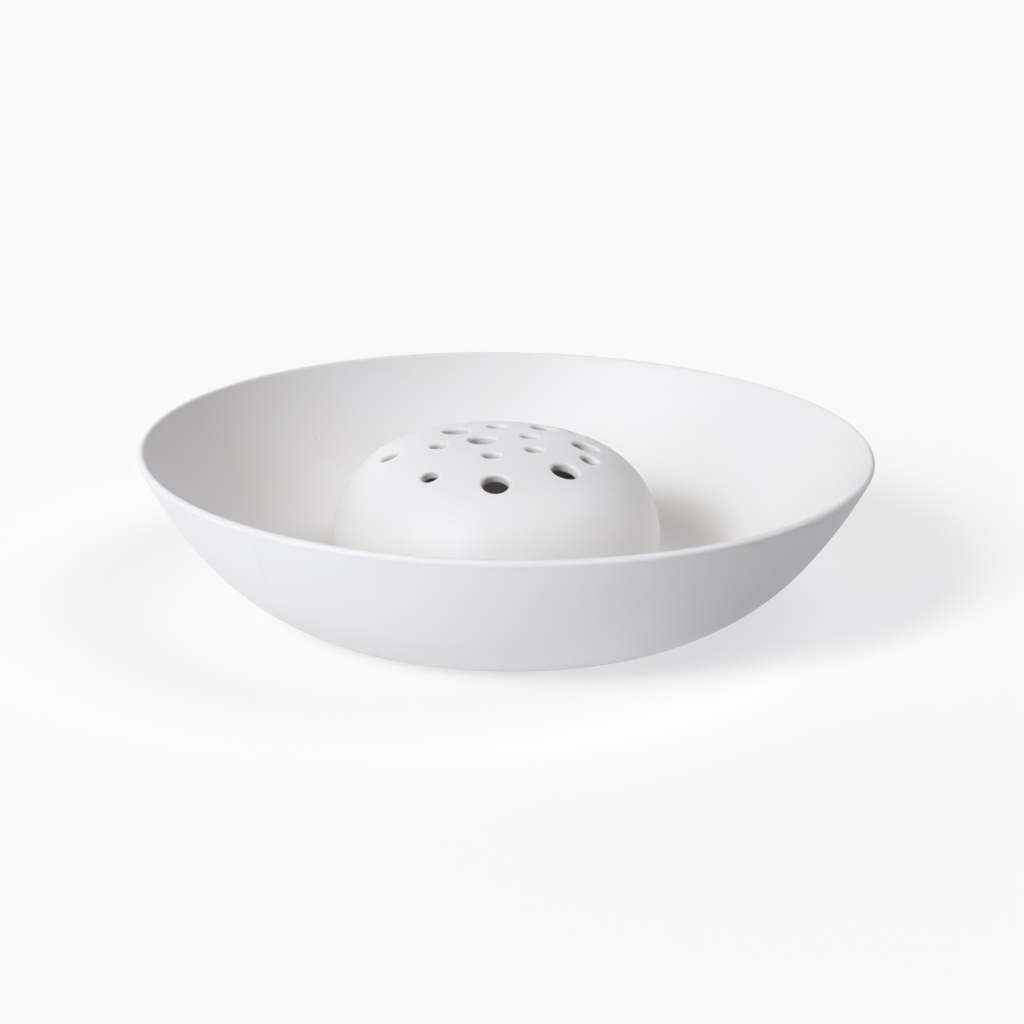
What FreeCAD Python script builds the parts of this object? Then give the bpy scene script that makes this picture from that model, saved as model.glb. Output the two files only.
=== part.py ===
import FreeCAD, Part

import math
import os

import Sketcher
from FreeCAD import Placement, Rotation, Vector

# A two-piece ceramic flower-arranging set: a shallow wide bowl on a low foot
# ring, and a separate hollow dome pierced with stem holes (the flower frog)
# that stands loose on the bowl's floor.
# Millimetres, +Z up. The origin is on the table, on the bowl's axis.

doc = FreeCAD.newDocument("flower_frog")

# ---------------------------------------------------------------- sizes
sheet = doc.addObject("Spreadsheet::Sheet", "sizes")

SIZES = [
    # bowl, outside
    ("rim_end_radius", "149.78", "bowl: radius where the wall meets the rounded rim"),
    ("rim_end_height", "61.7", "bowl: height where the wall meets the rounded rim"),
    ("rim_round", "1.6", "bowl: radius of the rounded rim"),
    ("wall_break_radius", "127.86", "bowl: radius where the wall's two curves meet"),
    ("wall_curve_low", "93.91", "bowl: radius of curvature of the lower wall"),
    ("wall_curve_high", "188.21", "bowl: radius of curvature of the upper wall"),
    ("foot_shoulder_radius", "97.3", "bowl: corner where the wall tucks in to the foot"),
    ("foot_height", "1.3", "bowl: height of that corner above the table"),
    ("foot_outer_radius", "93.8", "bowl: outer radius of the foot ring"),
    ("foot_inner_radius", "85.0", "bowl: inner radius of the foot ring"),
    ("foot_recess", "1.8", "bowl: how far the base stands off the table"),
    ("foot_round", "0.6", "bowl: rounding of the foot ring"),
    ("shoulder_round", "0.5", "bowl: rounding of the corner above the foot"),
    # bowl, inside
    ("floor_height", "6.0", "bowl: height of the inside floor"),
    ("floor_radius", "77.2", "bowl: radius of the flat of the inside floor"),
    ("inside_curve_low", "60.5", "bowl: radius of curvature, floor to wall"),
    ("inside_curve_high", "184.0", "bowl: radius of curvature of the inside wall"),
    # pierced dome
    ("frog_offset", "-3.6", "dome: its axis from the bowl's axis, along X"),
    ("frog_top", "64.68", "dome: height of the crown above the table"),
    ("frog_wall", "4.2", "dome: wall thickness"),
    ("crown_curve", "385.43", "dome: radius of curvature of the crown"),
    ("crown_radius", "22.38", "dome: radius where crown and shoulder meet"),
    ("shoulder_curve", "69.54", "dome: radius of curvature of the shoulder"),
    ("shoulder_radius", "43.88", "dome: radius where shoulder and side meet"),
    ("side_curve", "38.14", "dome: radius of curvature of the side"),
    ("base_round", "0.9", "dome: rounding of the standing edge"),
    ("big_hole_radius", "5.35", "stem holes: wall radius of the large ones"),
    ("small_hole_radius", "3.4", "stem holes: wall radius of the small ones"),
    ("lip_round", "0.5", "stem holes: rounding of the outside lip"),
    ("inner_lip_round", "0.5", "stem holes: rounding of the inside lip"),
    ("drill_length", "14", "stem holes: length of the drill that makes them"),
    ("drill_start", "8", "stem holes: how far inside the crown surface it starts"),
]

# The stem holes: (name, size, distance from the dome's axis, bearing in
# degrees from +X). Each is square to the surface at that point.
HOLES = [
    ("front", "big", 43.9, -90.5),
    ("front_left", "small", 44.3, -127.1),
    ("front_right", "big", 40.3, -47.3),
    ("left", "small", 45.0, -169.0),
    ("inner_left", "small", 25.5, -161.0),
    ("crown_back_left", "big", 21.9, 143.2),
    ("crown_centre", "big", 6.7, -164.5),
    ("crown_front", "small", 21.5, -96.1),
    ("crown_back", "small", 20.4, 92.5),
    ("crown_right", "small", 14.0, 22.7),
    ("inner_right", "small", 19.9, -41.1),
    ("back_right_inner", "big", 29.5, 47.9),
    ("right", "big", 36.3, 0.9),
    ("right_front", "small", 40.3, -21.1),
    ("right_back", "small", 41.0, 36.5),
    ("back_right", "small", 45.0, 60.0),
    ("back", "big", 46.0, 87.0),
    ("back_left", "small", 45.0, 114.0),
    ("left_back", "big", 47.0, 141.0),
]

numbers = {a: float(v) for a, v, _ in SIZES}


def crown_arcs():
    """Centres (radius, height) and radii of the dome's three outside arcs."""
    n = numbers
    ra, rb, rc = n["crown_curve"], n["shoulder_curve"], n["side_curve"]
    a1 = math.asin(n["crown_radius"] / ra)
    ca = (0.0, n["frog_top"] - ra)
    cb = (ca[0] + (ra - rb) * math.sin(a1), ca[1] + (ra - rb) * math.cos(a1))
    a2 = math.asin((n["shoulder_radius"] - cb[0]) / rb)
    cc = (cb[0] + (rb - rc) * math.sin(a2), cb[1] + (rb - rc) * math.cos(a2))
    return (ca, ra, a1), (cb, rb, a2), (cc, rc, math.pi / 2)


def on_dome(radius):
    """Height of the outside surface and its tilt from level, at a radius."""
    a, b, c = crown_arcs()
    n = numbers
    arc = a if radius < n["crown_radius"] else b if radius < n["shoulder_radius"] else c
    (cx, cz), r, _ = arc
    tilt = math.asin((radius - cx) / r)
    return cz + r * math.cos(tilt), math.degrees(tilt)


for name, size, radius, bearing in HOLES:
    height, tilt = on_dome(radius)
    SIZES += [
        (name + "_radius", "%.3f" % radius, "stem hole %s: distance from the dome's axis" % name),
        (name + "_bearing", "%.3f" % bearing, "stem hole %s: bearing from +X" % name),
        (name + "_height", "%.3f" % height, "stem hole %s: height of its mouth" % name),
        (name + "_tilt", "%.3f" % tilt, "stem hole %s: tilt from upright" % name),
    ]

for row, (alias, value, note) in enumerate(SIZES, 1):
    sheet.set("A%d" % row, note)
    sheet.set("B%d" % row, value)
    sheet.setAlias("B%d" % row, alias)
doc.recompute()


# ---------------------------------------------------------------- helpers
def origin_plane(body, role):
    return [f for f in body.Origin.OriginFeatures if f.Role == role][0]


class Profile:
    """A half-section in the XZ plane, u = radius and v = height."""

    def __init__(self, body, name):
        self.sketch = body.newObject("Sketcher::SketchObject", name)
        self.sketch.AttachmentSupport = [(origin_plane(body, "XZ_Plane"), "")]
        self.sketch.MapMode = "FlatFace"

    def line(self, p, q):
        return self.sketch.addGeometry(
            Part.LineSegment(Vector(p[0], p[1], 0), Vector(q[0], q[1], 0)), False
        )

    def arc(self, centre, radius, start, end):
        circle = Part.Circle(Vector(centre[0], centre[1], 0), Vector(0, 0, 1), radius)
        return self.sketch.addGeometry(Part.ArcOfCircle(circle, start, end), False)

    def add(self, kind, *args, name=None, expr=None):
        i = self.sketch.addConstraint(Sketcher.Constraint(kind, *args))
        if name:
            self.sketch.renameConstraint(i, name)
        if expr:
            self.sketch.setExpression("Constraints." + name, expr)
        return i


def edges_where(feature, test):
    return [
        "Edge%d" % i for i, e in enumerate(feature.Shape.Edges, 1) if test(e)
    ]


def ring_edge(radius, height, tol=0.02):
    """Test for a full circle about the piece's axis at that radius and height."""

    def test(edge):
        if edge.Degenerated:
            return False
        c = edge.Curve
        return (
            isinstance(c, Part.Circle)
            and abs(c.Radius - radius) < tol
            and abs(c.Center.z - height) < tol
            and math.hypot(c.Center.x, c.Center.y) < tol
        )

    return test


# ---------------------------------------------------------------- bowl
n = numbers
bowl = doc.addObject("PartDesign::Body", "Bowl")
bowl.Label = "bowl"

p = Profile(bowl, "bowl_section")
re_, he = n["rim_end_radius"], n["rim_end_height"]
# the two outside curves, worked out so that the sketch starts solved
r1, r2 = n["wall_curve_low"], n["wall_curve_high"]
c1, c2 = (54.12, 84.71), (-19.92, 143.10)
bead = (148.34, 62.40)
c5 = (n["floor_radius"], n["floor_height"] + n["inside_curve_low"])
c4 = (-17.44, 145.83)
r4, r5 = n["inside_curve_high"], n["inside_curve_low"]


def angle(centre, point):
    return math.atan2(point[1] - centre[1], point[0] - centre[0])


corner = (n["foot_shoulder_radius"], n["foot_height"])
brk = (n["wall_break_radius"], 26.55)
heading = math.radians(64.44)
g = {}
g["base"] = p.line((0, n["foot_recess"]), (n["foot_inner_radius"], n["foot_recess"]))
g["foot_in"] = p.line((n["foot_inner_radius"], n["foot_recess"]), (n["foot_inner_radius"], 0))
g["foot"] = p.line((n["foot_inner_radius"], 0), (n["foot_outer_radius"], 0))
g["foot_out"] = p.line((n["foot_outer_radius"], 0), (n["foot_outer_radius"], n["foot_height"]))
g["tuck"] = p.line((n["foot_outer_radius"], n["foot_height"]), corner)
g["low"] = p.arc(c1, r1, angle(c1, corner), angle(c1, brk))
g["high"] = p.arc(c2, r2, angle(c2, brk), angle(c2, (re_, he)))
g["rim"] = p.arc(bead, n["rim_round"], heading - math.pi / 2, heading + math.pi / 2)
g["in_high"] = p.arc(c4, r4, -math.radians(90 - 50.0), -math.radians(90 - 63.3))
g["in_low"] = p.arc(c5, r5, -math.pi / 2, -math.radians(90 - 50.0))
g["floor"] = p.line((n["floor_radius"], n["floor_height"]), (0, n["floor_height"]))
g["axis"] = p.line((0, n["floor_height"]), (0, n["foot_recess"]))

START, END, MID = 1, 2, 3
p.add("Coincident", g["base"], END, g["foot_in"], START)
p.add("Coincident", g["foot_in"], END, g["foot"], START)
p.add("Coincident", g["foot"], END, g["foot_out"], START)
p.add("Coincident", g["foot_out"], END, g["tuck"], START)
p.add("Coincident", g["tuck"], END, g["low"], START)
p.add("Tangent", g["low"], END, g["high"], START)
p.add("Tangent", g["high"], END, g["rim"], START)
p.add("Tangent", g["rim"], END, g["in_high"], END)
p.add("Tangent", g["in_high"], START, g["in_low"], END)
p.add("Tangent", g["in_low"], START, g["floor"], START)
p.add("Coincident", g["floor"], END, g["axis"], START)
p.add("Coincident", g["axis"], END, g["base"], START)
for k in ("base", "foot", "tuck", "floor"):
    p.add("Horizontal", g[k])
for k in ("foot_in", "foot_out", "axis"):
    p.add("Vertical", g[k])
p.add("PointOnObject", g["axis"], START, -2)
p.add("PointOnObject", g["foot"], START, -1)


def across(key, pos, value, name, expr):
    p.add("DistanceX", -1, 1, g[key], pos, value, name=name, expr=expr)


def up(key, pos, value, name, expr):
    p.add("DistanceY", -1, 1, g[key], pos, value, name=name, expr=expr)


up("base", START, n["foot_recess"], "foot_recess", "sizes.foot_recess")
across("foot_in", START, n["foot_inner_radius"], "foot_inner_radius", "sizes.foot_inner_radius")
across("foot_out", START, n["foot_outer_radius"], "foot_outer_radius", "sizes.foot_outer_radius")
up("tuck", START, n["foot_height"], "foot_height", "sizes.foot_height")
across("tuck", END, n["foot_shoulder_radius"], "foot_shoulder_radius", "sizes.foot_shoulder_radius")
across("low", END, n["wall_break_radius"], "wall_break_radius", "sizes.wall_break_radius")
across("high", END, re_, "rim_end_radius", "sizes.rim_end_radius")
up("high", END, he, "rim_end_height", "sizes.rim_end_height")
across("in_low", START, n["floor_radius"], "floor_radius", "sizes.floor_radius")
up("floor", END, n["floor_height"], "floor_height", "sizes.floor_height")
p.add("Radius", g["low"], r1, name="wall_curve_low", expr="sizes.wall_curve_low")
p.add("Radius", g["high"], r2, name="wall_curve_high", expr="sizes.wall_curve_high")
p.add("Radius", g["rim"], n["rim_round"], name="rim_round", expr="sizes.rim_round")
p.add("Radius", g["in_high"], r4, name="inside_curve_high", expr="sizes.inside_curve_high")
p.add("Radius", g["in_low"], r5, name="inside_curve_low", expr="sizes.inside_curve_low")
doc.recompute()

turned = bowl.newObject("PartDesign::Revolution", "bowl_turned")
turned.Profile = p.sketch
turned.ReferenceAxis = (p.sketch, ["V_Axis"])
turned.Angle = 360
doc.recompute()

feet = edges_where(
    turned,
    lambda e: ring_edge(n["foot_inner_radius"], 0)(e) or ring_edge(n["foot_outer_radius"], 0)(e),
)
foot_fillet = bowl.newObject("PartDesign::Fillet", "foot_rounding")
foot_fillet.Base = (turned, feet)
foot_fillet.setExpression("Radius", "sizes.foot_round")
doc.recompute()

shoulder = edges_where(foot_fillet, ring_edge(n["foot_shoulder_radius"], n["foot_height"]))
shoulder_fillet = bowl.newObject("PartDesign::Fillet", "foot_corner_rounding")
shoulder_fillet.Base = (foot_fillet, shoulder)
shoulder_fillet.setExpression("Radius", "sizes.shoulder_round")
doc.recompute()

# ---------------------------------------------------------------- pierced dome
frog = doc.addObject("PartDesign::Body", "FrogDome")
frog.Label = "frog_dome"

p = Profile(frog, "dome_section")
(ca, ra, a1), (cb, rb, a2), (cc, rc, _) = crown_arcs()
w = n["frog_wall"]
z0 = n["floor_height"]


def side_at(radius):
    """Angle of the side curve (or its inside) where it meets the floor."""
    return math.asin((z0 - cc[1]) / radius)


up90 = math.pi / 2
g = {}
g["crown"] = p.arc(ca, ra, up90 - a1, up90)
g["shoulder"] = p.arc(cb, rb, up90 - a2, up90 - a1)
g["side"] = p.arc(cc, rc, side_at(rc), up90 - a2)
g["in_crown"] = p.arc(ca, ra - w, up90 - a1, up90)
g["in_shoulder"] = p.arc(cb, rb - w, up90 - a2, up90 - a1)
g["in_side"] = p.arc(cc, rc - w, side_at(rc - w), up90 - a2)
out0 = (cc[0] + rc * math.cos(side_at(rc)), z0)
in0 = (cc[0] + (rc - w) * math.cos(side_at(rc - w)), z0)
g["standing"] = p.line(in0, out0)
g["axis"] = p.line((0, n["frog_top"] - w), (0, n["frog_top"]))

p.add("Tangent", g["crown"], START, g["shoulder"], END)
p.add("Tangent", g["shoulder"], START, g["side"], END)
p.add("Coincident", g["side"], START, g["standing"], END)
p.add("Coincident", g["standing"], START, g["in_side"], START)
p.add("Tangent", g["in_side"], END, g["in_shoulder"], START)
p.add("Tangent", g["in_shoulder"], END, g["in_crown"], START)
p.add("Coincident", g["in_crown"], END, g["axis"], START)
p.add("Coincident", g["axis"], END, g["crown"], END)
p.add("Horizontal", g["standing"])
p.add("PointOnObject", g["axis"], START, -2)
p.add("Vertical", g["axis"])
p.add("PointOnObject", g["crown"], MID, -2)
p.add("PointOnObject", g["in_crown"], MID, -2)
up("standing", END, z0, "floor_height", "sizes.floor_height")
up("axis", END, n["frog_top"], "frog_top", "sizes.frog_top")
up("axis", START, n["frog_top"] - w, "frog_inside_top", "sizes.frog_top - sizes.frog_wall")
across("crown", START, n["crown_radius"], "crown_radius", "sizes.crown_radius")
across("shoulder", START, n["shoulder_radius"], "shoulder_radius", "sizes.shoulder_radius")
p.add("Radius", g["crown"], ra, name="crown_curve", expr="sizes.crown_curve")
p.add("Radius", g["shoulder"], rb, name="shoulder_curve", expr="sizes.shoulder_curve")
p.add("Radius", g["side"], rc, name="side_curve", expr="sizes.side_curve")
p.add("Radius", g["in_crown"], ra - w, name="inside_crown_curve", expr="sizes.crown_curve - sizes.frog_wall")
p.add(
    "Radius", g["in_shoulder"], rb - w, name="inside_shoulder_curve",
    expr="sizes.shoulder_curve - sizes.frog_wall",
)
p.add("Radius", g["in_side"], rc - w, name="inside_side_curve", expr="sizes.side_curve - sizes.frog_wall")
# the inside curves keep the wall's thickness: their ends lie on the same
# normals as the outside ones
across(
    "in_crown", START, n["crown_radius"] * (ra - w) / ra, "inside_crown_radius",
    "sizes.crown_radius * (sizes.crown_curve - sizes.frog_wall) / sizes.crown_curve",
)
across(
    "in_shoulder", START,
    cb[0] + (n["shoulder_radius"] - cb[0]) * (rb - w) / rb, "inside_shoulder_radius",
    "sizes.crown_radius * (1 - sizes.shoulder_curve / sizes.crown_curve)"
    " + (sizes.shoulder_radius - sizes.crown_radius * (1 - sizes.shoulder_curve / sizes.crown_curve))"
    " * (sizes.shoulder_curve - sizes.frog_wall) / sizes.shoulder_curve",
)
doc.recompute()

shell = frog.newObject("PartDesign::Revolution", "dome_turned")
shell.Profile = p.sketch
shell.ReferenceAxis = (p.sketch, ["V_Axis"])
shell.Angle = 360
doc.recompute()

standing = edges_where(shell, lambda e: ring_edge(out0[0], z0)(e) or ring_edge(in0[0], z0)(e))
base_fillet = frog.newObject("PartDesign::Fillet", "standing_edge_rounding")
base_fillet.Base = (shell, standing)
base_fillet.setExpression("Radius", "sizes.base_round")
doc.recompute()

# each stem hole is drilled square to the surface, from inside the dome out
before = base_fillet
for name, size, radius, bearing in HOLES:
    drill = frog.newObject("PartDesign::SubtractiveCylinder", "stem_hole_" + name)
    drill.setExpression("Radius", "sizes.%s_hole_radius" % size)
    drill.setExpression("Height", "sizes.drill_length")
    turn = "rotation(vector(-sin(sizes.{0}_bearing * 1 deg); cos(sizes.{0}_bearing * 1 deg); 0); sizes.{0}_tilt)"
    reach = (
        "(sizes.{0}_radius - sizes.drill_start * sin(sizes.{0}_tilt * 1 deg))"
    )
    where = (
        "vector(" + reach + " * cos(sizes.{0}_bearing * 1 deg); "
        + reach + " * sin(sizes.{0}_bearing * 1 deg); "
        "sizes.{0}_height - sizes.drill_start * cos(sizes.{0}_tilt * 1 deg))"
    )
    drill.AttachmentSupport = [(origin_plane(frog, "XY_Plane"), "")]
    drill.MapMode = "FlatFace"
    drill.setExpression("AttachmentOffset", ("placement(" + where + "; " + turn + ")").format(name))
    doc.recompute()
    if drill.Shape.Volume > before.Shape.Volume - 100:
        raise SystemExit("stem hole %s removed no material" % name)
    before = drill


# the lips: edges between a hole's wall and the dome's outside or inside
def lips(feature, outside):
    out = []
    for i, e in enumerate(feature.Shape.Edges, 1):
        faces = feature.Shape.ancestorsOfType(e, Part.Face)
        kinds = [isinstance(f.Surface, Part.Cylinder) for f in faces]
        if len(faces) != 2 or kinds[0] == kinds[1]:
            continue
        m = e.valueAt((e.FirstParameter + e.LastParameter) / 2)
        h, tilt = on_dome(min(math.hypot(m.x, m.y), 66.0))
        near = abs(h - m.z) * math.cos(math.radians(tilt)) < 1.0
        if near == outside:
            out.append("Edge%d" % i)
    return out


outer_lips = frog.newObject("PartDesign::Fillet", "outside_lips")
outer_lips.Base = (before, lips(before, True))
outer_lips.setExpression("Radius", "sizes.lip_round")
doc.recompute()
inner_lips = frog.newObject("PartDesign::Fillet", "inside_lips")
inner_lips.Base = (outer_lips, lips(outer_lips, False))
inner_lips.setExpression("Radius", "sizes.inner_lip_round")
frog.setExpression("Placement.Base.x", "sizes.frog_offset")
doc.recompute()

# ---------------------------------------------------------------- tests and files
for obj in doc.Objects:
    if "Invalid" in obj.State or "Error" in obj.State:
        raise SystemExit("%s failed: %s" % (obj.Name, obj.State))

os.makedirs("parts", exist_ok=True)
for body in (bowl, frog):
    shape = body.Shape
    if shape.isNull() or not shape.isValid() or len(shape.Solids) != 1:
        raise SystemExit("%s is not one valid solid" % body.Label)
    box = shape.BoundBox
    print(
        "%s: %.0f mm3, %d faces, box %.2f %.2f %.2f to %.2f %.2f %.2f"
        % (body.Label, shape.Volume, len(shape.Faces), box.XMin, box.YMin, box.ZMin, box.XMax, box.YMax, box.ZMax)
    )
for body in (bowl, frog):
    body.Shape.exportStep("parts/%s.step" % body.Label)
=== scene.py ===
import math

import bpy
import numpy as np
from mathutils import Matrix, Vector
from mathutils.geometry import delaunay_2d_cdt


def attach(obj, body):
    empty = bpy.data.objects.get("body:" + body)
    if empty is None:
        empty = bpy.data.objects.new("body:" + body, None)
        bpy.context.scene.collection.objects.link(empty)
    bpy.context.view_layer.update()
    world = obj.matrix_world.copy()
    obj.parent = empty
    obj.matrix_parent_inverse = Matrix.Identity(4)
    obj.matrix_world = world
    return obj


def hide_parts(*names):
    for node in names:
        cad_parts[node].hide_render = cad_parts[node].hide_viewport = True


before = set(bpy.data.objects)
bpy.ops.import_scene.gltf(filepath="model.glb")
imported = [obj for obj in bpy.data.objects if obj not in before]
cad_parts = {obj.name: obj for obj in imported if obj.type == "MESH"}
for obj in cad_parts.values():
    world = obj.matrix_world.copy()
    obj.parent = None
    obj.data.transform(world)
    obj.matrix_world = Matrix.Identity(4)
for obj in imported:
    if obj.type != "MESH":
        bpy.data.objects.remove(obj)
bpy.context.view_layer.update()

MM = 0.001

# ------------------------------------------------------------------ sizes, mm
# the bowl's half-section and the dome's, as the frame has them
WALL_LOW = ((54.122383, 84.695333), 93.91)
WALL_HIGH = ((-19.921459, 143.090533), 188.21)
BEAD = ((148.337344, 62.391913), 1.6)
IN_HIGH = ((-17.447011, 145.835952), 184.0)
IN_LOW = ((77.2, 66.5), 60.5)
RIM_OUT, WALL_BREAK = (149.78, 61.70), (127.86, 26.54164)
RIM_IN, IN_BREAK = (146.908168, 63.111258), (123.56554, 27.635019)
FLOOR_Z = 6.0
FOOT_OUT, FOOT_IN, RECESS = 93.8, 85.0, 1.8
SHOULDER = (97.3, 1.3)

DOME_X = -3.6
DOME_TOP = 64.68
DOME_WALL = 4.2
CROWN_R, SHOULDER_R, SIDE_R = 385.43, 69.54, 38.14
CROWN_TO, SHOULDER_TO = 22.38, 43.88
BIG, SMALL = 5.35, 3.4

HOLES = [
    # radius of the hole, distance from the dome's axis, bearing, softness of the lip
    (BIG, 43.9, -90.5, 1.00),
    (SMALL, 44.3, -127.1, 0.90),
    (BIG, 40.3, -47.3, 1.05),
    (SMALL, 45.0, -169.0, 0.95),
    (SMALL, 25.5, -161.0, 0.90),
    (BIG, 21.9, 143.2, 1.05),
    (BIG, 6.7, -164.5, 1.00),
    (SMALL, 21.5, -96.1, 1.00),
    (SMALL, 20.4, 92.5, 0.95),
    (SMALL, 14.0, 22.7, 1.05),
    (SMALL, 19.9, -41.1, 1.00),
    (BIG, 29.5, 47.9, 1.10),
    (BIG, 36.3, 0.9, 1.05),
    (SMALL, 40.3, -21.1, 1.10),
    (SMALL, 41.0, 36.5, 1.00),
    (SMALL, 45.0, 60.0, 0.95),
    (BIG, 46.0, 87.0, 1.00),
    (SMALL, 45.0, 114.0, 0.90),
    (BIG, 47.0, 141.0, 1.05),
]


# ------------------------------------------------------------------ helpers
def arc_points(centre, radius, a0, a1, n):
    a = np.linspace(a0, a1, n)
    return np.stack([centre[0] + radius * np.cos(a), centre[1] + radius * np.sin(a)], 1)


def ang(centre, p):
    return math.atan2(p[1] - centre[1], p[0] - centre[0])


def rounded(points, corner, radius, n):
    """A corner of straight lines, points[0] - corner - points[1], rounded off."""
    p, c, q = (np.array(x, float) for x in (points[0], corner, points[1]))
    u, v = (p - c) / np.linalg.norm(p - c), (q - c) / np.linalg.norm(q - c)
    half = math.acos(np.clip(u @ v, -1, 1)) / 2
    d = radius / math.tan(half)
    a, b = c + u * d, c + v * d
    m = c + (u + v) / np.linalg.norm(u + v) * radius / math.sin(half)
    out = []
    for t in np.linspace(0, 1, n):
        w = (a - m) * (1 - t) + (b - m) * t
        out.append(m + w / np.linalg.norm(w) * radius)
    return np.array(out)


def join(*runs):
    """Runs of profile points in one line, with no point twice."""
    out = []
    for run in runs:
        for p in np.atleast_2d(run):
            if not out or np.hypot(*(p - out[-1])) > 0.02:
                out.append(p)
    return np.array(out)


def hum(p, seed, size):
    """A slow smooth wander between about -1 and 1 over points in mm, the same each run."""
    rng = np.random.RandomState(seed)
    out = np.zeros(len(p))
    for _ in range(9):
        k = rng.normal(size=3)
        k *= 2 * math.pi / (size * rng.uniform(0.7, 1.6)) / np.linalg.norm(k)
        out += np.sin(p @ k + rng.uniform(0, 2 * math.pi))
    return out / 3.0


def new_mesh(name, verts, faces):
    mesh = bpy.data.meshes.new(name)
    mesh.from_pydata((verts * MM).tolist(), [], faces)
    mesh.validate()
    mesh.update()
    mesh.shade_smooth()
    obj = bpy.data.objects.new(name, mesh)
    bpy.context.scene.collection.objects.link(obj)
    return obj


# ------------------------------------------------------------------ bowl
def bowl_section():
    """The closed half-section from the middle of the underside round to the middle of the floor."""
    low = arc_points(*WALL_LOW, ang(WALL_LOW[0], SHOULDER), ang(WALL_LOW[0], WALL_BREAK), 40)
    low = low[low[:, 0] > SHOULDER[0] + 0.62]
    high = arc_points(*WALL_HIGH, ang(WALL_HIGH[0], WALL_BREAK), ang(WALL_HIGH[0], RIM_OUT), 40)
    bead = arc_points(*BEAD, ang(BEAD[0], RIM_OUT), ang(BEAD[0], RIM_IN), 17)
    in_high = arc_points(*IN_HIGH, ang(IN_HIGH[0], RIM_IN), ang(IN_HIGH[0], IN_BREAK), 40)
    in_low = arc_points(*IN_LOW, ang(IN_LOW[0], IN_BREAK), -math.pi / 2, 48)
    under = np.stack([np.array([4, 12, 22, 34, 46, 58, 70, 79, 83.2]), np.full(9, RECESS)], 1)
    floor = np.stack([np.array([72, 65, 56, 46, 36, 26, 16, 8, 3.0]), np.full(9, FLOOR_Z)], 1)
    foot = join(
        rounded([(80, RECESS), (FOOT_IN, 0)], (FOOT_IN, RECESS), 0.8, 6),
        rounded([(FOOT_IN, RECESS), (FOOT_OUT, 0)], (FOOT_IN, 0), 0.6, 7),
        np.array([(87.2, 0), (89.4, 0), (91.6, 0)]),
        rounded([(FOOT_IN, 0), (FOOT_OUT, 1.3)], (FOOT_OUT, 0), 0.6, 7),
        rounded([(FOOT_OUT, 0), (SHOULDER[0], SHOULDER[1])], (FOOT_OUT, 1.3), 0.35, 5),
        np.array([(95.2, 1.3), (96.2, 1.3)]),
        rounded([(FOOT_OUT, 1.3), tuple(low[1])], SHOULDER, 0.5, 6),
    )
    return join(under, foot, low, high, bead, in_high, in_low, floor)


def revolve(section, n):
    """A closed turned mesh. The section runs from pole to pole; its poles get a point each."""
    a = np.arange(n) * 2 * math.pi / n
    rings = np.stack(
        [
            np.outer(section[:, 0], np.cos(a)),
            np.outer(section[:, 0], np.sin(a)),
            np.outer(section[:, 1], np.ones(n)),
        ],
        -1,
    ).reshape(-1, 3)
    bottom, top = len(rings), len(rings) + 1
    verts = np.vstack([rings, [0, 0, section[0, 1]], [0, 0, section[-1, 1]]])
    faces = []
    for i in range(len(section) - 1):
        for j in range(n):
            k = (j + 1) % n
            faces.append((i * n + j, i * n + k, (i + 1) * n + k, (i + 1) * n + j))
    last = (len(section) - 1) * n
    for j in range(n):
        k = (j + 1) % n
        faces.append((bottom, k, j))
        faces.append((top, last + j, last + k))
    return verts, faces


def mark(obj, name, values):
    """A value from 0 to 1 at each point, for the glaze."""
    layer = obj.data.attributes.new(name, "FLOAT", "POINT")
    layer.data.foreach_set("value", np.asarray(values, np.float32))


verts, faces = revolve(bowl_section(), 320)
bowl = new_mesh("bowl_porcelain", verts, faces)
along_rim = np.hypot(np.hypot(verts[:, 0], verts[:, 1]) - BEAD[0][0], verts[:, 2] - BEAD[0][1])
mark(bowl, "edge", np.clip((2.6 - along_rim) / 0.9, 0, 1) * (verts[:, 2] > 60.5))
# painted light: 1 on the bowl's outer wall, where a cooler tint is painted to stand in for the cool skylight on that
# side
facing = np.zeros(len(verts) * 3, np.float32)
bowl.data.vertices.foreach_get("normal", facing)
facing = facing.reshape(-1, 3)
outward = (facing[:, :2] * verts[:, :2]).sum(1) / np.maximum(np.hypot(verts[:, 0], verts[:, 1]), 1.0)
mark(bowl, "painted_light_side", np.clip(outward * 2.0, 0, 1))

# ------------------------------------------------------------------ pierced dome
A1 = math.asin(CROWN_TO / CROWN_R)
CA = np.array([0.0, DOME_TOP - CROWN_R])
CB = CA + (CROWN_R - SHOULDER_R) * np.array([math.sin(A1), math.cos(A1)])
A2 = math.asin((SHOULDER_TO - CB[0]) / SHOULDER_R)
CC = CB + (SHOULDER_R - SIDE_R) * np.array([math.sin(A2), math.cos(A2)])
A3 = math.radians(51.0)  # where the pierced crown's mesh meets the turned side
ARCS = ((CA, CROWN_R, 0.0, A1), (CB, SHOULDER_R, A1, A2), (CC, SIDE_R, A2, A3))


def to_surface(p, inset):
    """Signed distance of points from the dome's surface, inset inwards, and the surface's normal there."""
    r = np.hypot(p[:, 0], p[:, 1])
    q = np.stack([r, p[:, 2]], 1)
    dist = np.zeros(len(p))
    nrm = np.zeros((len(p), 2))
    left = np.ones(len(p), bool)
    for c, radius, _, a1 in ARCS:
        d = q - c
        a = np.arctan2(d[:, 0], d[:, 1])
        here = left & ((a <= a1) | (c is CC))
        length = np.hypot(d[:, 0], d[:, 1])
        dist[here] = (length - (radius - inset))[here]
        nrm[here] = (d / length[:, None])[here]
        left &= ~here
    safe = np.maximum(r, 1e-9)
    n3 = np.stack([nrm[:, 0] * p[:, 0] / safe, nrm[:, 0] * p[:, 1] / safe, nrm[:, 1]], 1)
    n3[r < 1e-9] = (0, 0, 1)
    return dist, n3


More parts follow.
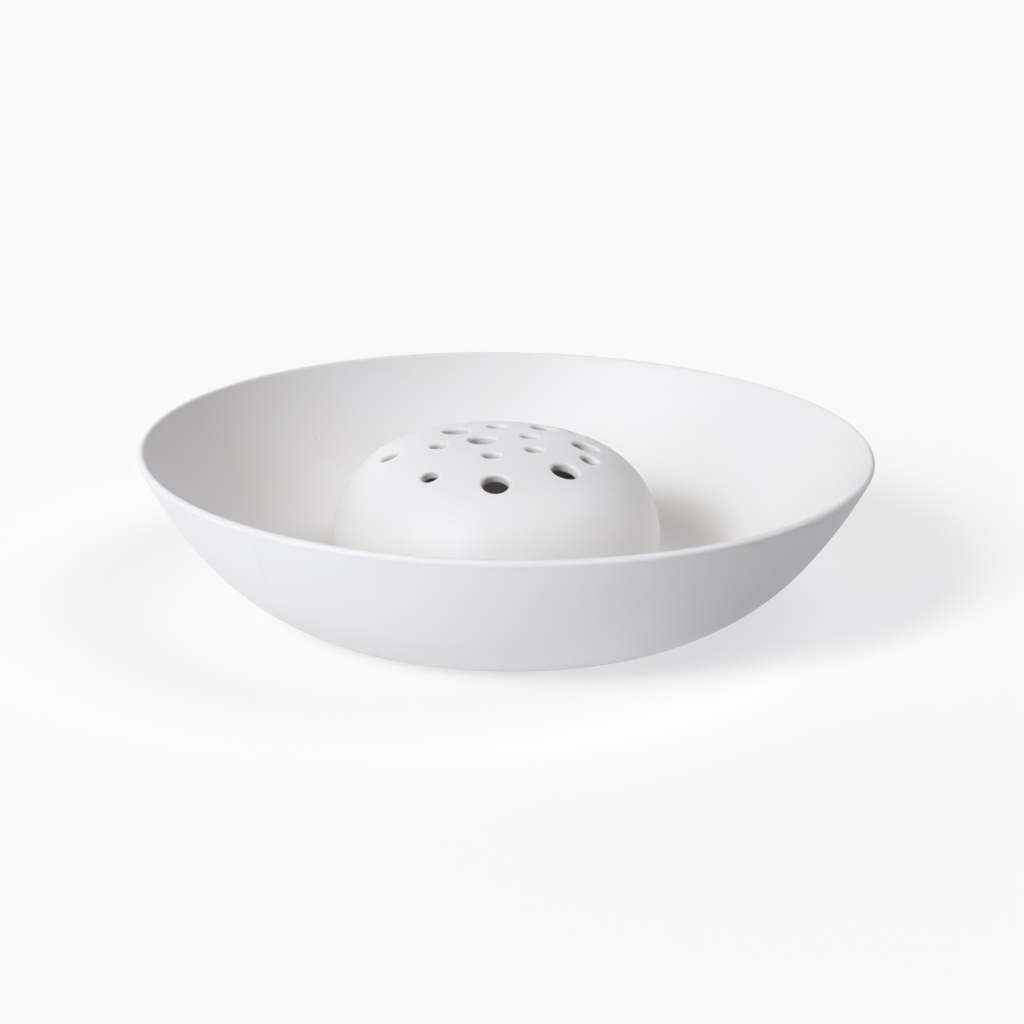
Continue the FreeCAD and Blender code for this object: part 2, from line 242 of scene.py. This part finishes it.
# distance along the surface from the crown's middle, against radius, for one inset
def run_table(inset):
    rs, ss, zs, s = [0.0], [0.0], [DOME_TOP - inset], 0.0
    for c, radius, a0, a1 in ARCS:
        rr = radius - inset
        for a in np.linspace(a0, a1, 160)[1:]:
            s += rr * (a1 - a0) / 159
            rs.append(c[0] + rr * math.sin(a))
            zs.append(c[1] + rr * math.cos(a))
            ss.append(s)
    return np.array(rs), np.array(ss), np.array(zs)


class Crown:
    """One side of the pierced crown, inset from the outside: a flat map of it and its holes."""

    def __init__(self, inset):
        self.inset = inset
        self.rs, self.ss, self.zs = run_table(inset)

    def flat(self, p):
        r = np.hypot(p[:, 0], p[:, 1])
        s = np.interp(r, self.rs, self.ss)
        k = s / np.maximum(r, 1e-9)
        return p[:, :2] * k[:, None]

    def solid(self, uv):
        s = np.hypot(uv[:, 0], uv[:, 1])
        r = np.interp(s, self.ss, self.rs)
        z = np.interp(s, self.ss, self.zs)
        k = r / np.maximum(s, 1e-9)
        p = np.column_stack([uv * k[:, None], z])
        d, n = to_surface(p, self.inset)
        return p - n * d[:, None]


def hole_frame(distance, bearing):
    """Mouth, axis and two directions across it, for a hole square to the surface."""
    b = math.radians(bearing)
    for c, radius, _, a1 in ARCS:
        t = math.asin((distance - c[0]) / radius)
        if t <= a1:
            break
    z = c[1] + radius * math.cos(t)
    n = np.array([math.sin(t) * math.cos(b), math.sin(t) * math.sin(b), math.cos(t)])
    p = np.array([distance * math.cos(b), distance * math.sin(b), z])
    u = np.array([math.cos(t) * math.cos(b), math.cos(t) * math.sin(b), -math.sin(t)])
    return p, n, u, np.cross(n, u)


def ring(hole, rho, inset, count):
    """A circle round a hole's axis, dropped along the axis onto one side of the crown."""
    p, n, u, v = hole
    a = np.arange(count) * 2 * math.pi / count
    q = p + rho * (np.outer(np.cos(a), u) + np.outer(np.sin(a), v)) - n * inset
    for _ in range(8):
        d, g = to_surface(q, inset)
        q = q - n * (d / (g @ n))[:, None]
    return q


def bezier(a, b, c, d, n):
    t = np.linspace(0, 1, n)[:, None, None]
    return (1 - t) ** 3 * a + 3 * (1 - t) ** 2 * t * b + 3 * (1 - t) * t * t * c + t**3 * d


def build_dome():
    verts, faces, edge_points = [], [], []

    def add(points):
        first = len(verts)
        verts.extend(np.asarray(points).tolist())
        return list(range(first, first + len(points)))

    n_side = 288
    side_a = np.arange(n_side) * 2 * math.pi / n_side
    lips = []
    for radius, distance, bearing, soft in HOLES:
        frame_ = hole_frame(distance, bearing)
        count = 56 if radius == BIG else 44
        lips.append((frame_, radius, 1.45 * soft, 0.7, count))

    sheets = {}
    for inset, sign in ((0.0, 1), (DOME_WALL, -1)):
        crown = Crown(inset)
        edge_s = crown.ss[-1]
        points, edges, owners = [], [], []

        def put(uv, owner, points=points, owners=owners):
            first = len(points)
            points.extend(uv.tolist())
            owners.extend([owner] * len(uv))
            return first

        rings = []
        for h, (fr, radius, w_out, w_in, count) in enumerate(lips):
            w = w_out if sign > 0 else w_in
            q = ring(fr, radius + w, inset, count)
            first = put(crown.flat(q), h)
            edges += [(first + i, first + (i + 1) % count) for i in range(count)]
            rings.append((first, count, q))
            for grow, share in ((0.75, 1.0), (1.7, 0.75), (2.9, 0.5)):
                m = int(count * share)
                q2 = ring(fr, radius + w + grow, inset, m)
                put(crown.flat(q2), -1)
        first = put(edge_s * np.stack([np.cos(side_a), np.sin(side_a)], 1), -2)
        edges += [(first + i, first + (i + 1) % n_side) for i in range(n_side)]
        # the rest of the crown: even points, clear of the rings
        area = np.concatenate([[0], np.cumsum((crown.rs[1:] + crown.rs[:-1]) / 2 * np.diff(crown.ss))])
        many = int(area[-1] * 2 * math.pi / 1.9**2)
        frac = (np.arange(many) + 0.5) / many * area[-1]
        s = np.interp(frac, area, crown.ss)
        a = np.arange(many) * math.pi * (3 - math.sqrt(5))
        uv = np.stack([s * np.cos(a), s * np.sin(a)], 1)
        keep = s < edge_s - 1.3
        p3 = crown.solid(uv)
        for fr, radius, w_out, w_in, count in lips:
            p, n, u, v = fr
            d = p3 - p
            across = np.linalg.norm(d - np.outer(d @ n, n), axis=1)
            w = w_out if sign > 0 else w_in
            keep &= (across > radius + w + 3.9) | (d @ n < -12)
        put(uv[keep], -1)
        # a ring's point that falls within another hole's rings is dropped
        pts = np.array(points)
        own = np.array(owners)
        solid = crown.solid(pts)
        good = np.ones(len(pts), bool)
        for h, (fr, radius, w_out, w_in, count) in enumerate(lips):
            p, n, u, v = fr
            d = solid - p
            across = np.linalg.norm(d - np.outer(d @ n, n), axis=1)
            w = w_out if sign > 0 else w_in
            good &= (across > radius + w + 0.45) | (own != -1)
        index = np.cumsum(good) - 1
        pts2 = pts[good]
        edges2 = [(int(index[i]), int(index[j])) for i, j in edges]
        out = delaunay_2d_cdt([Vector(x) for x in pts2.tolist()], edges2, [], 0, 1e-7, True)
        co, _, tris, orig = out[0], out[1], out[2], out[3]
        back = [o[0] if o else -1 for o in orig]
        if min(back) < 0 or len(set(back)) != len(back):
            raise SystemExit("the crown's map crossed itself")
        # ring points keep their exact places; the others are lifted from the map
        lifted = crown.solid(pts2)
        for first, count, q in rings:
            for i in range(count):
                lifted[index[first + i]] = q[i]
        ids = add(lifted)
        hole_of = {}
        for h, (first, count, q) in enumerate(rings):
            for i in range(count):
                hole_of[int(index[first + i])] = h
        centre = pts2[[back[t] for tri in tris for t in tri]].reshape(-1, 3, 2).mean(1)
        c3 = crown.solid(centre)
        for tri, c in zip(tris, c3):
            t = [back[i] for i in tri]
            hs = {hole_of.get(i) for i in t}
            if len(hs) == 1 and None not in hs:
                continue  # spans a hole
            t = [ids[i] for i in t]
            faces.append(tuple(t) if sign > 0 else tuple(reversed(t)))
        sheets[sign] = {
            "rings": [[ids[index[first + i]] for i in range(count)] for first, count, q in rings],
            "edge": [ids[index[i]] for i in range(len(points)) if owners[i] == -2],
        }

    vs = np.array(verts)

    # lips and walls of the holes
    for h, (fr, radius, w_out, w_in, count) in enumerate(lips):
        p, n, u, v = fr
        a = np.arange(count) * 2 * math.pi / count
        rad = np.outer(np.cos(a), u) + np.outer(np.sin(a), v)
        outer, inner = sheets[1]["rings"][h], sheets[-1]["rings"][h]
        q0, q9 = vs[outer], vs[inner]
        _, g0 = to_surface(q0, 0.0)
        _, g9 = to_surface(q9, DOME_WALL)
        t0 = -rad + g0 * np.einsum("ij,ij->i", rad, g0)[:, None]
        t0 /= np.linalg.norm(t0, axis=1)[:, None]
        t9 = rad - g9 * np.einsum("ij,ij->i", rad, g9)[:, None]
        t9 /= np.linalg.norm(t9, axis=1)[:, None]
        top = ring(fr, radius, 0.0, count) - n * w_out * 1.05
        low = ring(fr, radius, DOME_WALL, count) + n * w_in * 1.05
        k = 0.56
        lip = bezier(q0, q0 + t0 * k * w_out, top + n * k * w_out, top, 9)
        wall = np.stack([top * (1 - t) + low * t for t in (0.25, 0.5, 0.75)])
        under = bezier(low, low - n * k * w_in, q9 - t9 * k * w_in, q9, 7)
        rows = [outer]
        for line in (*lip[1:], *wall, *under[:-1]):
            rows.append(add(line))
        for row in rows[1:8]:
            edge_points.extend(row)
        rows.append(inner)
        for r0, r1 in zip(rows, rows[1:]):
            for i in range(count):
                j = (i + 1) % count
                faces.append((r0[i], r0[j], r1[j], r1[i]))

    # the side, from the crown's edge down over the standing edge and up inside
    z0 = FLOOR_Z
    rr = SIDE_R
    low_out = math.acos((z0 - CC[1]) / rr)
    out = np.array([(CC[0] + rr * math.sin(t), CC[1] + rr * math.cos(t)) for t in np.linspace(A3, low_out, 44)])
    ri = SIDE_R - DOME_WALL
    low_in = math.acos((z0 - CC[1]) / ri)
    inn = np.array([(CC[0] + ri * math.sin(t), CC[1] + ri * math.cos(t)) for t in np.linspace(low_in, A3, 30)])
    c_out, c_in = out[-1], inn[0]
    out, inn = out[out[:, 1] > z0 + 1.25], inn[inn[:, 1] > z0 + 1.1]
    bottom = join(
        rounded([out[-1], c_in], c_out, 0.95, 7),
        np.array([(c_out * (1 - t) + c_in * t) for t in (0.4, 0.6)]),
        rounded([c_out, inn[0]], c_in, 0.85, 7),
    )
    section = join(out, bottom, inn)[1:-1]
    rows = [sheets[1]["edge"]]
    for r, z in section:
        rows.append(add(np.stack([r * np.cos(side_a), r * np.sin(side_a), np.full(n_side, z)], 1)))
    rows.append(sheets[-1]["edge"])
    for r0, r1 in zip(rows, rows[1:]):
        for i in range(n_side):
            j = (i + 1) % n_side
            faces.append((r0[i], r1[i], r1[j], r0[j]))
    return np.array(verts), faces, edge_points


verts, faces, lip_points = build_dome()
dome_hum = hum(verts, 5, 60.0)
_, dn = to_surface(verts, 0.0)
fade = np.clip((verts[:, 2] - 12) / 20, 0, 1)
verts = verts - dn * (0.05 * (1 + dome_hum) * fade)[:, None]
verts[:, 0] += DOME_X
dome = new_mesh("frog_dome_porcelain", verts, faces)
on_lip = np.zeros(len(verts))
on_lip[lip_points] = 1.0
mark(dome, "edge", on_lip)
# painted shade: 1 on the dome's inner side, which gets a darker, warmer colour standing in for the shade inside it
beyond, _ = to_surface(verts - (DOME_X, 0, 0), 0.0)
mark(dome, "painted_light_side", np.clip((-beyond - 2.6) / 1.2, 0, 1))


# ------------------------------------------------------------------ materials
class Nodes:
    def __init__(self, name):
        self.mat = bpy.data.materials.new(name)
        self.mat.use_nodes = True
        self.tree = self.mat.node_tree
        self.tree.nodes.clear()

    def new(self, kind, **values):
        node = self.tree.nodes.new(kind)
        for k, v in values.items():
            if k.startswith("_"):
                setattr(node, k[1:], v)
            else:
                node.inputs[k].default_value = v
        return node

    def link(self, a, b):
        self.tree.links.new(a, b)

    def noise(self, coord, scale, detail=3.0, rough=0.5, distort=0.0):
        n = self.new("ShaderNodeTexNoise", Scale=scale, Detail=detail, Roughness=rough, Distortion=distort)
        self.link(coord, n.inputs["Vector"])
        return n.outputs["Fac"]

    def span(self, value, lo, hi, a, b, smooth=False):
        n = self.new("ShaderNodeMapRange")
        n.interpolation_type = "SMOOTHSTEP" if smooth else "LINEAR"
        self.link(value, n.inputs["Value"])
        for k, v in (("From Min", lo), ("From Max", hi), ("To Min", a), ("To Max", b)):
            n.inputs[k].default_value = v
        return n.outputs["Result"]

    def math(self, op, a, b=None, c=None, clamp=False):
        n = self.new("ShaderNodeMath")
        n.operation = op
        n.use_clamp = clamp
        for i, x in enumerate((a, b, c)):
            if x is None:
                continue
            if isinstance(x, (int, float)):
                n.inputs[i].default_value = x
            else:
                self.link(x, n.inputs[i])
        return n.outputs[0]

    def spot(self, coord, place, size):
        """1 at a place on the surface, fading to 0 at size; both in mm."""
        n = self.new("ShaderNodeVectorMath")
        n.operation = "DISTANCE"
        self.link(coord, n.inputs[0])
        n.inputs[1].default_value = tuple(v * MM for v in place)
        return self.span(n.outputs["Value"], 0.0, size * MM, 1.0, 0.0, True)

    def streak(self, coord, start, end, width):
        """1 along a straight line on the surface, fading to 0 at width from it; in mm."""
        a, b = Vector(start) * MM, Vector(end) * MM
        along = b - a

        def vec(op, x, y):
            n = self.new("ShaderNodeVectorMath")
            n.operation = op
            for v, s in ((x, n.inputs[0]), (y, n.inputs[1])):
                if isinstance(v, (tuple, Vector)):
                    s.default_value = tuple(v)
                else:
                    self.link(v, s)
            return n

        rel = vec("SUBTRACT", coord, a).outputs[0]
        t = self.math("DIVIDE", vec("DOT_PRODUCT", rel, along).outputs["Value"], along.length_squared, clamp=True)
        foot = self.new("ShaderNodeVectorMath")
        foot.operation = "SCALE"
        foot.inputs[0].default_value = tuple(along)
        self.link(t, foot.inputs["Scale"])
        gap = vec("DISTANCE", rel, foot.outputs[0]).outputs["Value"]
        return self.span(gap, 0.0, width * MM, 1.0, 0.0, True)

    def mix(self, fac, a, b):
        n = self.new("ShaderNodeMix")
        n.data_type = "RGBA"
        for x, s in ((fac, n.inputs[0]), (a, n.inputs[6]), (b, n.inputs[7])):
            if isinstance(x, (int, float)):
                s.default_value = x
            elif isinstance(x, tuple):
                s.default_value = (*x, 1.0)
            else:
                self.link(x, s)
        return n.outputs[2]


GLAZE = (0.762, 0.747, 0.727)

# small flaws of the glaze, in mm: pits (place, radius, depth of tone) and one fine run
PITS = [
    ((-87.30, 95.67, 35.13), 1.15, 0.30),
    ((-126.44, 53.63, 46.37), 0.85, 0.30),
    ((-93.71, 57.68, 15.69), 0.80, 0.26),
]
RUN = [((-90.40, -117.24, 58.19), (-89.31, -112.54, 50.03), 0.45, 0.10), ((-89.31, -112.54, 50.03), (-88.24, -105.65, 40.18), 0.50, 0.20)]
DROPS = [((-88.24, -105.65, 40.18), 0.62, 0.34), ((-87.81, -103.90, 37.60), 0.75, 0.42)]


def porcelain(name, foot, painted_tint):
    """Silky white porcelain: faint clouding, a fine matt grain, a few pinholes; bare clay under the foot ring."""
    m = Nodes(name)
    coord = m.new("ShaderNodeTexCoord").outputs["Object"]
    cloud = m.noise(coord, 26.0, 3.0, 0.55, 0.3)
    cloud2 = m.noise(coord, 110.0, 2.0, 0.5)
    warm = tuple(c * k for c, k in zip(GLAZE, (1.0, 0.992, 0.975)))
    cool = tuple(c * k for c, k in zip(GLAZE, (1.006, 1.008, 1.012)))
    colour = m.mix(m.span(cloud, 0.35, 0.65, 0.0, 1.0), cool, warm)
    # painted light: the bowl's outer wall gets a cooler tint standing in for skylight, and the dome's inside a
    # darker, warmer tint standing in for the shade in its hollow
    painted_side = m.new("ShaderNodeAttribute")
    painted_side.attribute_name = "painted_light_side"
    colour = m.mix(painted_side.outputs["Fac"], colour, m.mix(m.span(cloud, 0.35, 0.65, 0.0, 1.0), painted_tint, tuple(c * 0.985 for c in painted_tint)))
    grain = m.noise(coord, 1900.0, 2.0, 0.6)
    colour = m.mix(m.span(grain, 0.40, 0.75, 0.0, 0.05), colour, tuple(c * 0.86 for c in GLAZE))
    rough = m.math("ADD", m.span(cloud2, 0.3, 0.7, -0.035, 0.035), m.span(grain, 0.3, 0.7, -0.03, 0.03))
    rough = m.math("ADD", rough, 0.50)
    # pinholes and specks, sparse
    cells = m.new("ShaderNodeTexVoronoi", Scale=62.0, Randomness=1.0)
    cells.feature = "F1"
    m.link(coord, cells.inputs["Vector"])
    sep = m.new("ShaderNodeSeparateColor")
    m.link(cells.outputs["Color"], sep.inputs["Color"])
    rare = m.math("GREATER_THAN", sep.outputs[0], 0.93)
    size = m.span(sep.outputs[1], 0.0, 1.0, 0.012, 0.028)
    dot = m.math("SUBTRACT", 1.0, m.math("DIVIDE", cells.outputs["Distance"], size, clamp=True), clamp=True)
    pin = m.math("MULTIPLY", rare, m.span(dot, 0.0, 0.6, 0.0, 1.0, True))
    colour = m.mix(m.math("MULTIPLY", pin, 0.45), colour, (0.42, 0.39, 0.36))
    height = m.math("ADD", m.math("MULTIPLY", grain, 0.000018), m.math("MULTIPLY", cloud2, 0.00006))
    height = m.math("SUBTRACT", height, m.math("MULTIPLY", pin, 0.00008))
    # the glaze is thinner over edges: a shade warmer and less silky there
    edge = m.new("ShaderNodeAttribute")
    edge.attribute_name = "edge"
    worn = m.math("MULTIPLY", edge.outputs["Fac"], m.span(cloud2, 0.30, 0.70, 0.35, 1.0))
    colour = m.mix(m.math("MULTIPLY", worn, 0.55), colour, tuple(c * k for c, k in zip(GLAZE, (0.985, 0.960, 0.920))))
    rough = m.math("ADD", rough, m.math("MULTIPLY", worn, 0.06))
    if foot:
        for place, size, tone in PITS + DROPS:
            spot = m.spot(coord, place, size)
            colour = m.mix(m.math("MULTIPLY", spot, tone), colour, (0.50, 0.46, 0.42))
            height = m.math("SUBTRACT", height, m.math("MULTIPLY", spot, 0.00010))
        for start, end, width, tone in RUN:
            line = m.streak(coord, start, end, width)
            colour = m.mix(m.math("MULTIPLY", line, tone), colour, (0.50, 0.47, 0.45))
            height = m.math("ADD", height, m.math("MULTIPLY", line, 0.00006))
    if foot:
        pos = m.new("ShaderNodeSeparateXYZ")
        m.link(coord, pos.inputs[0])
        low = m.span(pos.outputs[2], 0.0008, 0.0014, 1.0, 0.0, True)
        radius = m.math(
            "SQRT",
            m.math("ADD", m.math("POWER", pos.outputs[0], 2.0), m.math("POWER", pos.outputs[1], 2.0)),
        )
        bare = m.math("MULTIPLY", low, m.span(radius, 0.0800, 0.0835, 0.0, 1.0, True))
        bisque = m.mix(m.noise(coord, 900.0, 4.0, 0.65), (0.74, 0.70, 0.64), (0.66, 0.62, 0.56))
        colour = m.mix(bare, colour, bisque)
        rough = m.math("ADD", rough, m.math("MULTIPLY", bare, 0.35))
        height = m.math("ADD", height, m.math("MULTIPLY", m.math("MULTIPLY", bare, m.noise(coord, 2600.0, 3.0, 0.7)), 0.00006))
    bump = m.new("ShaderNodeBump", Strength=1.0, Distance=1.0)
    m.link(height, bump.inputs["Height"])
    shader = m.new("ShaderNodeBsdfPrincipled")
    shader.inputs["IOR"].default_value = 1.5
    shader.inputs["Specular IOR Level"].default_value = 0.35
    m.link(colour, shader.inputs["Base Color"])
    m.link(rough, shader.inputs["Roughness"])
    m.link(bump.outputs["Normal"], shader.inputs["Normal"])
    out = m.new("ShaderNodeOutputMaterial")
    m.link(shader.outputs[0], out.inputs["Surface"])
    return m.mat


# the last colour is painted: a cool skylight tint for the bowl's outer wall, a darker warm shade for the dome's
# inside
bowl.data.materials.append(porcelain("bowl_porcelain", True, (0.766, 0.755, 0.774)))
dome.data.materials.append(porcelain("dome_porcelain", False, (0.68, 0.63, 0.59)))
for obj, node in ((bowl, "bowl"), (dome, "frog_dome")):
    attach(obj, node)
    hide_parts(node)

# ------------------------------------------------------------------ floor
size = 30.0
mesh = bpy.data.meshes.new("floor")
mesh.from_pydata([(-size, -size, 0), (size, -size, 0), (size, size, 0), (-size, size, 0)], [], [(0, 1, 2, 3)])
floor = bpy.data.objects.new("floor", mesh)
bpy.context.scene.collection.objects.link(floor)
m = Nodes("floor_paint")
coord = m.new("ShaderNodeTexCoord").outputs["Object"]
shade = m.mix(m.noise(coord, 3.0, 2.0), (0.4450, 0.4390, 0.3820), (0.4490, 0.4430, 0.3860))
shader = m.new("ShaderNodeBsdfPrincipled", Roughness=0.9)
# a white sheet that glows a little from below, so its shadows are pale
shader.inputs["Emission Color"].default_value = (0.514, 0.514, 0.548, 1.0)
shader.inputs["Emission Strength"].default_value = 1.0
shader.inputs["Specular IOR Level"].default_value = 0.0
m.link(shade, shader.inputs["Base Color"])
out = m.new("ShaderNodeOutputMaterial")
m.link(shader.outputs[0], out.inputs["Surface"])
mesh.materials.append(m.mat)

# A grey card lies flat beside the bowl, on the side away from the key, out of sight of any
# camera. It holds back part of the sheet's glow there, as a studio's dark card does, fades out
# at its edges, and is clear from below, so the sheet under it looks the same.
CARD_FROM, CARD_TO, CARD_FADE, CARD_NEAR, CARD_FAR, CARD_HOLDS = -75.0, 25.0, 30.0, 0.112, 0.80, 0.48


def ease(x, lo, hi):
    t = np.clip((x - lo) / (hi - lo), 0, 1)
    return t * t * (3 - 2 * t)


bearing, reach = np.meshgrid(np.linspace(CARD_FROM, CARD_TO, 72), np.geomspace(CARD_NEAR, CARD_FAR, 30))
bearing, reach = bearing.ravel(), reach.ravel()
spots = np.stack([reach * np.cos(np.radians(bearing)), reach * np.sin(np.radians(bearing)), np.full(len(reach), 0.0012)], 1)
cells = [(j * 72 + i, (j + 1) * 72 + i, (j + 1) * 72 + i + 1, j * 72 + i + 1) for j in range(29) for i in range(71)]
mesh = bpy.data.meshes.new("grey_card")
mesh.from_pydata(spots.tolist(), [], cells)
mesh.update()
if mesh.polygons[0].normal.z < 0:
    mesh.flip_normals()
cover = ease(bearing, CARD_FROM, CARD_FROM + CARD_FADE) * (1 - ease(bearing, CARD_TO - CARD_FADE, CARD_TO))
cover *= ease(reach, CARD_NEAR, CARD_NEAR + 0.015) * (1 - ease(reach, 0.7 * CARD_FAR, CARD_FAR)) * CARD_HOLDS
layer = mesh.attributes.new("cover", "FLOAT", "POINT")
layer.data.foreach_set("value", cover.astype(np.float32))
card = bpy.data.objects.new("grey_card", mesh)
bpy.context.scene.collection.objects.link(card)
card.visible_camera = card.visible_shadow = card.visible_glossy = False
m = Nodes("grey_card")
dark = m.new("ShaderNodeBsdfDiffuse", Color=(0.03, 0.03, 0.05, 1.0))
clear = m.new("ShaderNodeBsdfTransparent")
held = m.new("ShaderNodeAttribute")
held.attribute_name = "cover"
above = m.math("SUBTRACT", 1.0, m.new("ShaderNodeNewGeometry").outputs["Backfacing"])
blend = m.new("ShaderNodeMixShader")
m.link(m.math("MULTIPLY", above, held.outputs["Fac"]), blend.inputs[0])
m.link(clear.outputs[0], blend.inputs[1])
m.link(dark.outputs[0], blend.inputs[2])
out = m.new("ShaderNodeOutputMaterial")
m.link(blend.outputs[0], out.inputs["Surface"])
mesh.materials.append(m.mat)

# ------------------------------------------------------------------ light
# Soft distant lights: a fairly small key low on the left, behind the camera, and wide weak
# ones round it. Each: azimuth and elevation it comes from, width in degrees, red, green, blue.
LIGHTS = [
    (225, 32, 13, (0.380, 0.396, 0.412)),
    (225, 42, 13, (0.220, 0.223, 0.200)),
    (225, 22, 13, (0.023, 0.024, 0.026)),
    (225, 22, 38, (0.193, 0.207, 0.289)),
    (0, 58, 38, (0.360, 0.354, 0.388)),
    (270, 58, 38, (0.102, 0.100, 0.094)),
    (120, 12, 38, (0.185, 0.185, 0.181)),
    (150, 12, 38, (0.078, 0.076, 0.073)),
    (90, 12, 38, (0.068, 0.073, 0.085)),
    (90, 34, 38, (0.064, 0.069, 0.080)),
    (30, 34, 38, (0.048, 0.049, 0.049)),
]
for az, el, wide, rgb in LIGHTS:
    light = bpy.data.lights.new("soft_light", "SUN")
    light.energy = math.pi * max(rgb)
    light.angle = math.radians(wide)
    light.color = tuple(c / max(rgb) for c in rgb)
    obj = bpy.data.objects.new("soft_light", light)
    bpy.context.scene.collection.objects.link(obj)
    a, e = math.radians(az), math.radians(el)
    d = Vector((math.cos(a) * math.cos(e), math.sin(a) * math.cos(e), math.sin(e)))
    obj.rotation_euler = d.to_track_quat("Z", "Y").to_euler()
    obj.location = d * 3

world = bpy.data.worlds.new("studio")
world.use_nodes = True
world.node_tree.nodes["Background"].inputs["Color"].default_value = (0.93, 0.93, 0.93, 1.0)
world.node_tree.nodes["Background"].inputs["Strength"].default_value = 1.0
# a pale backdrop only: it lights nothing
world.cycles_visibility.diffuse = False
world.cycles_visibility.glossy = False
world.cycles_visibility.transmission = False
world.cycles_visibility.scatter = False
bpy.context.scene.world = world
bpy.context.scene.view_settings.view_transform = "Standard"
bpy.context.scene.view_settings.look = "None"

# ------------------------------------------------------------------ camera
FOCAL_PX, DIST, TILT, ROLL = 2200.0, 905.0, math.radians(18.20), math.radians(0.84)
S, C = math.sin(TILT), math.cos(TILT)
right, up, back = np.array([1, 0, 0.0]), np.array([0, S, C]), np.array([0, -C, S])
cx = right * math.cos(ROLL) + up * math.sin(ROLL)
cy = -right * math.sin(ROLL) + up * math.cos(ROLL)
ox, oy = (506.5 - 512) / FOCAL_PX * DIST, -(441.2 - 512) / FOCAL_PX * DIST
where = (np.array([0, 0, 63.5]) - ox * cx - oy * cy + DIST * back) * MM
cam_data = bpy.data.cameras.new("camera")
cam_data.sensor_width = 36.0
cam_data.lens = FOCAL_PX * 36.0 / 1024
cam_data.clip_start, cam_data.clip_end = 0.01, 100.0
cam = bpy.data.objects.new("camera", cam_data)
bpy.context.scene.collection.objects.link(cam)
pose = Matrix.Identity(4)
for i, axis in enumerate((cx, cy, back)):
    for j in range(3):
        pose[j][i] = axis[j]
pose.translation = Vector(where)
cam.matrix_world = pose
bpy.context.scene.camera = cam
